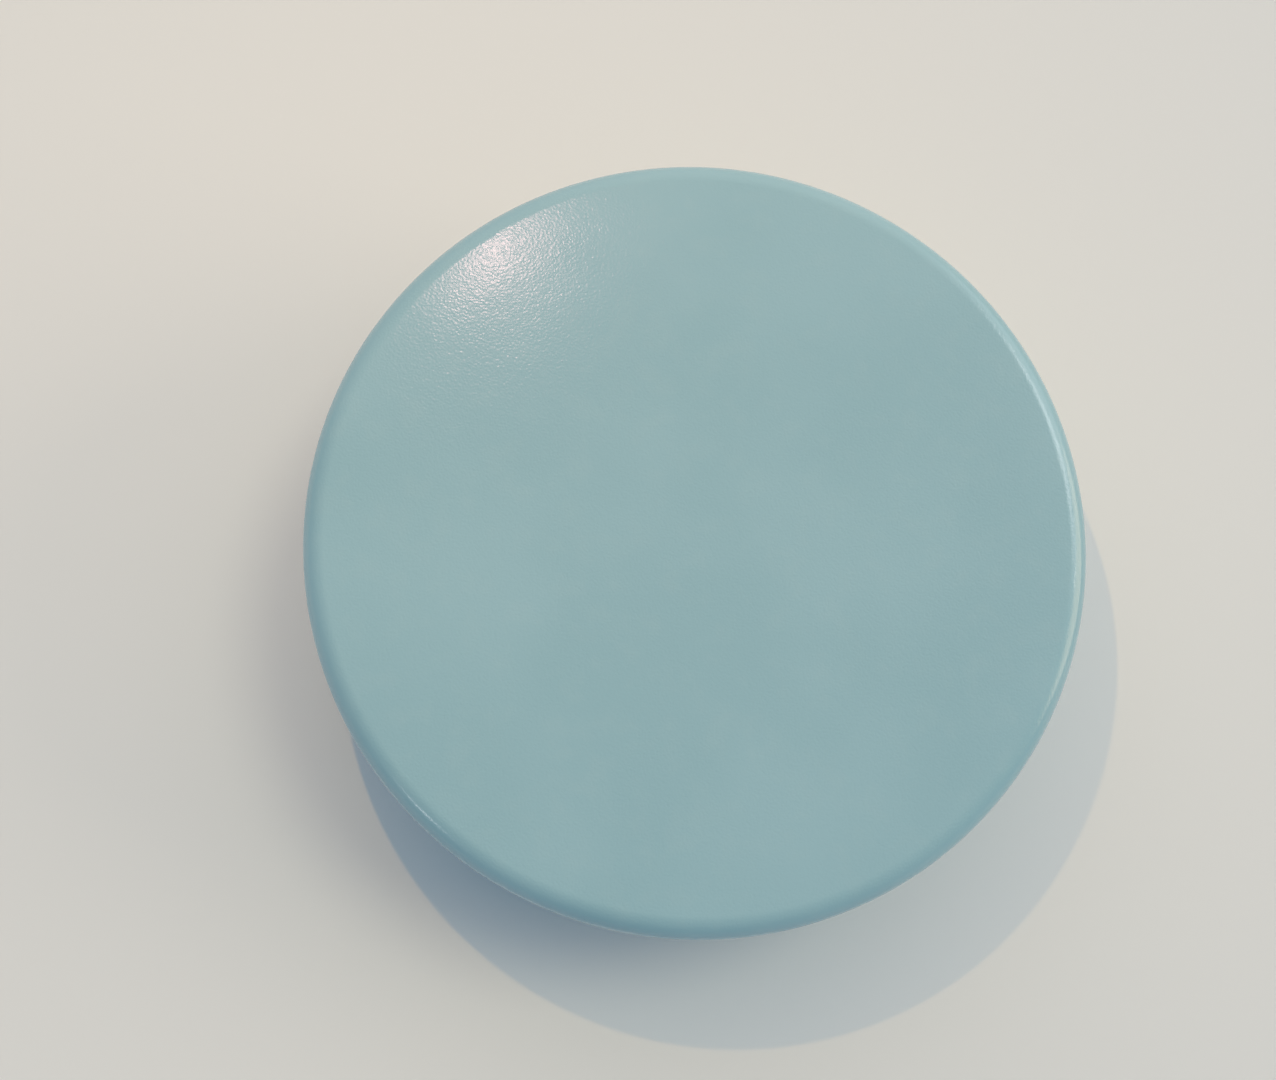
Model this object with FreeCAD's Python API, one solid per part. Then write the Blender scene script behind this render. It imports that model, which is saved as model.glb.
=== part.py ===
import FreeCAD, Part
import math
import os

# Lightweight training puck for junior ice hockey: one disc of solid moulded rubber.
# Frame: +Z up, with the two faces level. The origin is at the centre of the lower face,
# and +X goes through the middle of one diamond of the grip band.

# Driving dimensions, millimetres
puck_diameter = 76.2        # 3 in
puck_thickness = 25.4       # 1 in
rim_radius = 2.3            # rounding between each flat face and the wall
plain_land = 1.5            # smooth strip of wall between a rounding and the grip band
groove_depth = 0.45         # how far the grip band's grooves go in from the wall
groove_width = 0.8          # width of a groove, measured across it
diamond_pitch = 5.0         # wanted distance from one diamond to the next around the wall
diamond_height = 5.9        # wanted height of one diamond of the grip band, point to point

# Worked out from them
puck_radius = puck_diameter / 2
band_bottom = rim_radius + plain_land
band_height = puck_thickness - 2 * band_bottom
band_floor_radius = puck_radius - groove_depth
diamonds_around = round(math.pi * puck_diameter / diamond_pitch)
rows = max(1, round(band_height / diamond_height))
cell_width = 2 * puck_radius * math.tan(math.pi / diamonds_around)
cell_height = band_height / rows


def disc_blank():
    """The disc before its grip is cut: two flat faces, a straight wall and two roundings."""
    blank = Part.makeCylinder(puck_radius, puck_thickness)
    round_edges = [edge for edge in blank.Edges if isinstance(edge.Curve, Part.Circle)]
    return blank.makeFillet(rim_radius, round_edges)


def diamond_bar():
    """A bar along +X whose section is one diamond of the grip, smaller than its cell by a groove."""
    half_width = cell_width / 2
    half_height = cell_height / 2
    side_distance = half_width * half_height / math.hypot(half_width, half_height)
    shrink = 1 - groove_width / 2 / side_distance
    start = band_floor_radius - groove_depth
    across = shrink * half_width
    up = shrink * half_height
    corners = [(0, across, 0), (0, 0, up), (0, -across, 0), (0, 0, -up), (0, across, 0)]
    outline = Part.makePolygon([FreeCAD.Vector(*corner) for corner in corners])
    outline.translate(FreeCAD.Vector(start, 0, 0))
    return Part.Face(outline).extrude(FreeCAD.Vector(3 * groove_depth, 0, 0))


def all_diamonds():
    """Every diamond of the band: each row stands half a cell round from the rows beside it."""
    bar = diamond_bar()
    diamonds = []
    for level in range(2 * rows + 1):
        shift = 0.5 * (level % 2)
        for index in range(diamonds_around):
            diamond = bar.copy()
            diamond.translate(FreeCAD.Vector(0, 0, band_bottom + level * cell_height / 2))
            turn = 360 * (index + shift) / diamonds_around
            diamond.rotate(FreeCAD.Vector(0, 0, 0), FreeCAD.Vector(0, 0, 1), turn)
            diamonds.append(diamond)
    return diamonds


def groove_net():
    """The crossed grooves as one net: a thin ring round the wall with the diamonds taken out."""
    base = FreeCAD.Vector(0, 0, band_bottom)
    outside = Part.makeCylinder(puck_radius + groove_depth, band_height, base)
    inside = Part.makeCylinder(band_floor_radius, band_height, base)
    return outside.cut(inside).cut(all_diamonds())


os.makedirs("parts", exist_ok=True)
puck = disc_blank().cut(groove_net())
puck.exportStep("parts/puck.step")
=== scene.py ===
import math

import bmesh
import bpy
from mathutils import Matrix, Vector


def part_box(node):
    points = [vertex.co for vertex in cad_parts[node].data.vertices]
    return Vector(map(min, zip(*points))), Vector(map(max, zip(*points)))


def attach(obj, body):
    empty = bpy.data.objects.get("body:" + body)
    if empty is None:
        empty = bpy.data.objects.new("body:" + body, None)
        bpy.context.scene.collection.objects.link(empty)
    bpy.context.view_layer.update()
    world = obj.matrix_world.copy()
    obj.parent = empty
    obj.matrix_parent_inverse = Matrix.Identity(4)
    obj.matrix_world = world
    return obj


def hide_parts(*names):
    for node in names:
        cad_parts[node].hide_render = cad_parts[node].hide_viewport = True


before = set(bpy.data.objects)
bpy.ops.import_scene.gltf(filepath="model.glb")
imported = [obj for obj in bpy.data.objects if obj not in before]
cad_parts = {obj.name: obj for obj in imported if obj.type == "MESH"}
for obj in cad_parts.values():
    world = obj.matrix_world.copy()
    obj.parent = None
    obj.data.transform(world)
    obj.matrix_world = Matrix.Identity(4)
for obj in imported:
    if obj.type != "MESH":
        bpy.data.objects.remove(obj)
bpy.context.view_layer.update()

# ---------------------------------------------------------------------------
# Puck: a lightweight junior training puck, one solid disc of rubber. It is pressed and cured in
# a two-part mould whose flats are blasted and whose corners are polished, so the faces come out
# satin and the roundings glossy. Crossed ribs on the mould's wall press in the grooves of the grip.
MM = 0.001
low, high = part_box("puck")
puck_radius = (high.x - low.x) / 2
puck_height = high.z - low.z
cad_points = [vert.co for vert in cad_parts["puck"].data.vertices]
face_radius = max(point.xy.length for point in cad_points if point.z > high.z - 0.001 * MM)
rim_radius = puck_radius - face_radius
plain_land = 1.5 * MM
groove_depth = 0.45 * MM
groove_half_width = 0.42 * MM
groove_floor_half_width = 0.12 * MM
groove_end = 0.25 * MM            # how far a groove's end slopes out into the plain land
diamonds_around = 48
diamond_rows = 3
steps_across_diamond = 16         # mesh steps across one diamond, both ways
rim_steps = 16
face_rings = 6

band_low = low.z + rim_radius + plain_land
band_high = high.z - rim_radius - plain_land
band_steps = diamond_rows * steps_across_diamond
half_cell_height = (band_high - band_low) / diamond_rows / 2
half_cell_width = math.pi * puck_radius / diamonds_around
diamond_inradius = half_cell_width * half_cell_height / math.hypot(half_cell_width, half_cell_height)


def in_half_cells(point):
    """Where a point of the wall is, in half diamonds round the wall and up from the band's foot."""
    turn = math.atan2(point.y, point.x) / math.tau
    return 2 * diamonds_around * turn, (point.z - band_low) / half_cell_height


def groove_cut(point):
    """How deep the grip is at a point of the wall, from 0 on a diamond to 1 on a groove's floor."""
    around, up = in_half_cells(point)
    nearest = min(abs((around + up) % 2 - 1), abs((around - up) % 2 - 1))
    share = (groove_half_width - nearest * diamond_inradius) / (groove_half_width - groove_floor_half_width)
    share = min(1, max(0, share))
    return share * share * (3 - 2 * share)


bm = bmesh.new()
bmesh.ops.create_cone(bm, cap_ends=True, segments=diamonds_around * steps_across_diamond,
                      radius1=puck_radius, radius2=puck_radius, depth=puck_height)
bmesh.ops.translate(bm, verts=bm.verts, vec=(low + high) / 2)
rims = [edge for edge in bm.edges if abs(edge.verts[0].co.z - edge.verts[1].co.z) < rim_radius]
bmesh.ops.bevel(bm, geom=rims, offset=rim_radius, segments=rim_steps, profile=0.5,
                affect="EDGES", material=-1)

# the flat faces: rings, then a fan that closes the middle
for cap in [face for face in bm.faces if len(face.verts) > 4]:
    ring_width = (puck_radius - rim_radius) / (face_rings + 1)
    for ring in range(face_rings):
        bmesh.ops.inset_region(bm, faces=[cap], thickness=ring_width, use_even_offset=True)
    bmesh.ops.poke(bm, faces=[cap])

# the wall: level cuts, then diagonals that run with the grooves
for level in (band_low - groove_end, band_low, band_high, band_high + groove_end):
    bmesh.ops.bisect_plane(bm, geom=bm.verts[:] + bm.edges[:] + bm.faces[:],
                           plane_co=(0, 0, level), plane_no=(0, 0, 1))
tolerance = 0.01 * MM
upright = [edge for edge in bm.edges
           if min(v.co.z for v in edge.verts) > band_low - tolerance
           and max(v.co.z for v in edge.verts) < band_high + tolerance
           and abs(edge.verts[0].co.z - edge.verts[1].co.z) > half_cell_height]
bmesh.ops.subdivide_edges(bm, edges=upright, cuts=band_steps - 1)
band = [face for face in bm.faces
        if band_low < face.calc_center_median().z < band_high]
for face in band:
    around, up = in_half_cells(face.calc_center_median())
    rising = (math.floor(around) + math.floor(up)) % 2 == 1
    middle = face.calc_center_median()
    sideways = Vector((-middle.y, middle.x, 0))
    corners = sorted(face.verts, key=lambda vert: vert.co.z)
    feet = sorted(corners[:2], key=lambda vert: vert.co.dot(sideways))
    tops = sorted(corners[2:], key=lambda vert: vert.co.dot(sideways))
    if rising:
        bmesh.utils.face_split(face, feet[0], tops[1])
    else:
        bmesh.utils.face_split(face, feet[1], tops[0])
for vert in bm.verts:
    if band_low - tolerance < vert.co.z < band_high + tolerance:
        shrink = 1 - groove_depth * groove_cut(vert.co) / puck_radius
        vert.co.x *= shrink
        vert.co.y *= shrink

bmesh.ops.recalc_face_normals(bm, faces=bm.faces)
mesh = bpy.data.meshes.new("moulded_puck")
bm.to_mesh(mesh)
bm.free()
mesh.shade_smooth()
puck = bpy.data.objects.new("moulded_puck", mesh)
bpy.context.scene.collection.objects.link(puck)


def linear(hex_colour):
    """An sRGB hex colour as the linear RGBA that a shader takes."""
    channels = [int(hex_colour[i:i + 2], 16) / 255 for i in (1, 3, 5)]
    return [c / 12.92 if c <= 0.04045 else ((c + 0.055) / 1.055) ** 2.4 for c in channels] + [1]


def add_node(material, kind, settings=(), inputs=()):
    """Adds a node to a material or a world, with inputs that are values or other nodes' sockets."""
    node = material.node_tree.nodes.new(kind)
    for name, value in dict(settings).items():
        setattr(node, name, value)
    for name, value in dict(inputs).items():
        if isinstance(value, bpy.types.NodeSocket):
            material.node_tree.links.new(value, node.inputs[name])
        else:
            node.inputs[name].default_value = value
    return node


# Satin moulded rubber: pale teal through and through, cured against a steel mould. The mould's
# blasted flats give the faces a fine grain that breaks a reflection into sparks. Its polished
# corners leave the outer half of each rounding glossy, where a reflection is one clean line.
rubber = bpy.data.materials.new("satin_moulded_rubber")
rubber.use_nodes = True
smooth = {"interpolation_type": "SMOOTHSTEP"}
multiply = {"operation": "MULTIPLY"}
blend = {"data_type": "RGBA"}
place = add_node(rubber, "ShaderNodeTexCoord").outputs["Object"]
height = add_node(rubber, "ShaderNodeSeparateXYZ", inputs={"Vector": place}).outputs["Z"]
level_place = add_node(rubber, "ShaderNodeVectorMath", multiply, {
    0: place, 1: (1, 1, 0)}).outputs["Vector"]
from_axis = add_node(rubber, "ShaderNodeVectorMath", {"operation": "LENGTH"}, {
    0: level_place}).outputs["Value"]

# 1 on the blasted flats and the start of each rounding, 0 on the polished part and the wall
on_flat = add_node(rubber, "ShaderNodeMapRange", smooth, {
    "Value": from_axis, "From Min": face_radius + 0.9 * MM, "From Max": face_radius + 1.5 * MM,
    "To Min": 1, "To Max": 0}).outputs["Result"]

# 1 on the wall's grip band, between the two plain lands
off_middle = add_node(rubber, "ShaderNodeMath", {"operation": "SUBTRACT"}, {
    0: height, 1: (low.z + high.z) / 2}).outputs["Value"]
from_middle = add_node(rubber, "ShaderNodeMath", {"operation": "ABSOLUTE"}, {
    0: off_middle}).outputs["Value"]
in_band = add_node(rubber, "ShaderNodeMapRange", smooth, {
    "Value": from_middle, "From Min": (band_high - band_low) / 2,
    "From Max": (band_high - band_low) / 2 + groove_end, "To Min": 1, "To Max": 0}).outputs["Result"]

# 1 on the floor of a groove, 0 on top of a diamond
sunk = add_node(rubber, "ShaderNodeMapRange", smooth, {
    "Value": from_axis, "From Min": puck_radius - groove_depth, "From Max": puck_radius - 0.1 * MM,
    "To Min": 1, "To Max": 0}).outputs["Result"]
in_groove = add_node(rubber, "ShaderNodeMath", multiply, {0: in_band, 1: sunk}).outputs["Value"]

# 1 on the shoulder where a diamond's top turns down into a groove, and on the bend of each rounding
near_top = add_node(rubber, "ShaderNodeMapRange", smooth, {
    "Value": from_axis, "From Min": puck_radius - 0.3 * MM,
    "From Max": puck_radius - 0.08 * MM}).outputs["Result"]
below_top = add_node(rubber, "ShaderNodeMapRange", smooth, {
    "Value": from_axis, "From Min": puck_radius - 0.05 * MM, "From Max": puck_radius - 0.002 * MM,
    "To Min": 1, "To Max": 0}).outputs["Result"]
shoulder = add_node(rubber, "ShaderNodeMath", multiply, {0: near_top, 1: below_top}).outputs["Value"]

# Pigment that is not quite evenly milled: the teal drifts a little over centimetres.
drift_noise = add_node(rubber, "ShaderNodeTexNoise", inputs={
    "Vector": place, "Scale": 1 / (22 * MM), "Detail": 2}).outputs["Fac"]
drift_share = add_node(rubber, "ShaderNodeMapRange", smooth, {
    "Value": drift_noise, "From Min": 0.35, "From Max": 0.65}).outputs["Result"]
drift = add_node(rubber, "ShaderNodeMix", blend, {
    0: drift_share, 6: linear("#90b6c2"), 7: linear("#95bac6")}).outputs[2]

# Cloudy mottling a few millimetres across, from the rubber's flow in the mould
mottle_noise = add_node(rubber, "ShaderNodeTexNoise", inputs={
    "Vector": place, "Scale": 1 / (2.4 * MM), "Detail": 4}).outputs["Fac"]
mottle_share = add_node(rubber, "ShaderNodeMapRange", smooth, {
    "Value": mottle_noise, "From Min": 0.45, "From Max": 0.75, "To Max": 0.14}).outputs["Result"]
mottled = add_node(rubber, "ShaderNodeMix", blend, {
    0: mottle_share, 6: drift, 7: linear("#a3c0c8")}).outputs[2]

# Handling and sticks have paled the shoulders, in patches.
worn_noise = add_node(rubber, "ShaderNodeTexNoise", inputs={
    "Vector": place, "Scale": 1 / (3.5 * MM), "Detail": 3}).outputs["Fac"]
worn_patch = add_node(rubber, "ShaderNodeMapRange", smooth, {
    "Value": worn_noise, "From Min": 0.4, "From Max": 0.62, "To Max": 0.5}).outputs["Result"]
worn_share = add_node(rubber, "ShaderNodeMath", multiply, {0: shoulder, 1: worn_patch}).outputs["Value"]
worn = add_node(rubber, "ShaderNodeMix", blend, {
    0: worn_share, 6: mottled, 7: linear("#bcd2d8")}).outputs[2]

# Grooves are painted a darker grey: partly a film of dust, partly painted shade standing in for the shade
# deep in each groove.
groove_dust_and_shade_share = add_node(rubber, "ShaderNodeMath", multiply, {0: in_groove, 1: 0.6}).outputs["Value"]
dust_and_painted_shade = add_node(rubber, "ShaderNodeMix", blend, {
    0: groove_dust_and_shade_share, 6: worn, 7: linear("#6d8b94")}).outputs[2]

# Blasted grain, drawn 0.22 mm from one grain to the next: the real one is finer, too fine to show.
# The wall and the polished corners have only a tenth of it.
grain_noise = add_node(rubber, "ShaderNodeTexNoise", inputs={
    "Vector": place, "Scale": 1 / (0.22 * MM), "Detail": 0}).outputs["Fac"]
grain_share = add_node(rubber, "ShaderNodeMapRange", inputs={
    "Value": on_flat, "To Min": 0.1, "To Max": 1}).outputs["Result"]
grain_height = add_node(rubber, "ShaderNodeMath", multiply, {
    0: grain_noise, 1: grain_share}).outputs["Value"]
grain = add_node(rubber, "ShaderNodeBump", inputs={
    "Height": grain_height, "Distance": 0.0125 * MM, "Strength": 1}).outputs["Normal"]

# A broad, very shallow unevenness over everything, from shrinkage as the rubber cools
uneven_noise = add_node(rubber, "ShaderNodeTexNoise", inputs={
    "Vector": place, "Scale": 1 / (5 * MM), "Detail": 2}).outputs["Fac"]
uneven = add_node(rubber, "ShaderNodeBump", inputs={
    "Height": uneven_noise, "Distance": 0.02 * MM, "Strength": 1, "Normal": grain}).outputs["Normal"]

# Roughness: satin flats, glossy roundings and wall, all rubbed a little duller in patches, and
# dull dusty grooves
skin = add_node(rubber, "ShaderNodeMapRange", inputs={
    "Value": on_flat, "To Min": 0.14, "To Max": 0.2}).outputs["Result"]
rub_noise = add_node(rubber, "ShaderNodeTexNoise", inputs={
    "Vector": place, "Scale": 1 / (6 * MM), "Detail": 4}).outputs["Fac"]
rub = add_node(rubber, "ShaderNodeMapRange", smooth, {
    "Value": rub_noise, "From Min": 0.4, "From Max": 0.7, "To Max": 0.02}).outputs["Result"]
rubbed = add_node(rubber, "ShaderNodeMath", {"operation": "ADD"}, {0: skin, 1: rub}).outputs["Value"]
roughness = add_node(rubber, "ShaderNodeMath", {"operation": "MULTIPLY_ADD"}, {
    0: in_groove, 1: 0.35, 2: rubbed}).outputs["Value"]

shader = rubber.node_tree.nodes["Principled BSDF"]
shader.inputs["IOR"].default_value = 1.52
rubber.node_tree.links.new(dust_and_painted_shade, shader.inputs["Base Color"])
rubber.node_tree.links.new(roughness, shader.inputs["Roughness"])
rubber.node_tree.links.new(uneven, shader.inputs["Normal"])
mesh.materials.append(rubber)
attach(puck, "root")
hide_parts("puck")

# ---------------------------------------------------------------------------
# Floor: a plain white board, painted matt. It is flat and reaches far enough that the camera
# never sees its edge.
floor_half_width = 30             # metres
floor_mesh = bpy.data.meshes.new("floor")
bm = bmesh.new()
bmesh.ops.create_grid(bm, x_segments=1, y_segments=1, size=floor_half_width)
bm.to_mesh(floor_mesh)
bm.free()
floor = bpy.data.objects.new("floor", floor_mesh)
bpy.context.scene.collection.objects.link(floor)
painted = bpy.data.materials.new("pale_matt_floor")
painted.use_nodes = True
paint_shader = painted.node_tree.nodes["Principled BSDF"]
paint_shader.inputs["Base Color"].default_value = linear("#e4e4e4")
paint_shader.inputs["Roughness"].default_value = 0.7
floor_mesh.materials.append(painted)

# ---------------------------------------------------------------------------
# Camera and lights: the camera looks almost straight down from about two puck widths away. The
# light is a plain room's: small warm lamps, soft windows and a pale ceiling.
camera_place = Vector((-0.3114, -0.6975, 4.3647))   # in puck radii from the middle of the lower face
camera_tilt = 0.1811              # radians, leaning toward +Y
camera_lean = -0.0413             # radians, leaning toward +X
camera = bpy.data.objects.new("camera", bpy.data.cameras.new("camera"))
bpy.context.scene.collection.objects.link(camera)
bpy.context.scene.camera = camera
camera.location = puck_radius * camera_place
camera.rotation_mode = "YXZ"
camera.rotation_euler = (camera_tilt, camera_lean, 0)
camera.data.lens = 42.3
camera.data.clip_start = 0.01


def direction(azimuth, elevation):
    """Which way a far light lies, in degrees round from +X and up from the floor."""
    azimuth, elevation = math.radians(azimuth), math.radians(elevation)
    level = math.cos(elevation)
    return level * math.cos(azimuth), level * math.sin(azimuth), math.sin(elevation)


def add_light(name, kind, place, energy, colour):
    """A light at a place given in puck radii, aimed at the middle of the puck's lower face."""
    light = bpy.data.objects.new(name, bpy.data.lights.new(name, kind))
    bpy.context.scene.collection.objects.link(light)
    light.location = puck_radius * Vector(place)
    light.rotation_euler = light.location.to_track_quat("Z", "Y").to_euler()
    light.data.energy = energy
    light.data.color = colour
    return light


# A small warm lamp throws the sharp shadow. Its reflection is a light of its own, so that it can
# stand where the sparkle on the face wants it.
lamp = add_light("lamp", "POINT", (-1.08, 1.49, 5.08), 0.3, (1.0, 0.6, 0.2))
lamp.data.shadow_soft_size = 1.5 * MM
lamp.visible_glossy = False

glint = add_light("glint", "POINT", (-0.86, 2.57, 5.0), 0.125, (1.0, 0.58, 0.56))
glint.data.shadow_soft_size = 2 * MM
glint.visible_diffuse = False

# Two soft windows, one high and one low on the right, as far away as the sun is.
daylight = add_light("daylight", "SUN", (7.35, 3.94, 17.0), 0.46, (1.0, 0.97, 0.72))
daylight.data.angle = math.radians(18)
daylight.visible_glossy = False

right_window = add_light("right_window", "SUN", direction(3, 18), 0.95, (1.0, 0.8, 0.54))
right_window.data.angle = math.radians(36)

# Bright panes that only show as reflections, nearly all in the roundings. Each row is a name, the
# azimuth, elevation and width in degrees, and the energy.
for name, azimuth, elevation, width, energy in (("broad_pane", 28, 46, 20, 0.5),
                                                ("low_pane", 32, 22, 36, 0.35),
                                                ("narrow_pane", 8, 38, 4, 0.07),
                                                ("far_pane", 220, 29, 6, 0.1)):
    pane = add_light(name, "SUN", direction(azimuth, elevation), energy, (1.0, 1.0, 1.0))
    pane.data.angle = math.radians(width)
    pane.visible_diffuse = False

# The room: dim and bluish, with warm white light from the ceiling behind the puck. The camera sees
# one pale tone beyond the floor, near the floor's own from most sides. A faint horizon still shows
# in a view from low down.
world = bpy.context.scene.world or bpy.data.worlds.new("world")
bpy.context.scene.world = world
world.use_nodes = True
ceiling_way = Vector((0.1, 0.75, 0.65)).normalized()
ceiling_strength = 0.92
toward = add_node(world, "ShaderNodeTexCoord").outputs["Generated"]
ceiling_side = add_node(world, "ShaderNodeVectorMath", {"operation": "DOT_PRODUCT"},
                        {0: toward, 1: ceiling_way}).outputs["Value"]
near_ceiling = add_node(world, "ShaderNodeMath", {"operation": "MAXIMUM"}, {0: ceiling_side, 1: 0.0})
squared = add_node(world, "ShaderNodeMath", {"operation": "POWER"},
                   {0: near_ceiling.outputs["Value"], 1: 2.0}).outputs["Value"]
brightness = add_node(world, "ShaderNodeMath", {"operation": "MULTIPLY"}, {0: squared, 1: ceiling_strength})
ceiling = add_node(world, "ShaderNodeBackground", inputs={
    "Color": (1.0, 0.8, 0.68, 1), "Strength": brightness.outputs["Value"]})
room = add_node(world, "ShaderNodeBackground", inputs={"Color": (0.175, 0.29, 0.38, 1), "Strength": 1})
room_light = add_node(world, "ShaderNodeAddShader", inputs={0: ceiling.outputs[0], 1: room.outputs[0]})
seen = add_node(world, "ShaderNodeBackground", inputs={"Color": linear("#c5c9ca"), "Strength": 1})
camera_ray = add_node(world, "ShaderNodeLightPath").outputs["Is Camera Ray"]
sky = add_node(world, "ShaderNodeMixShader", inputs={
    0: camera_ray, 1: room_light.outputs[0], 2: seen.outputs[0]})
world.node_tree.links.new(sky.outputs[0], world.node_tree.nodes["World Output"].inputs["Surface"])
bpy.context.scene.view_settings.view_transform = "Standard"
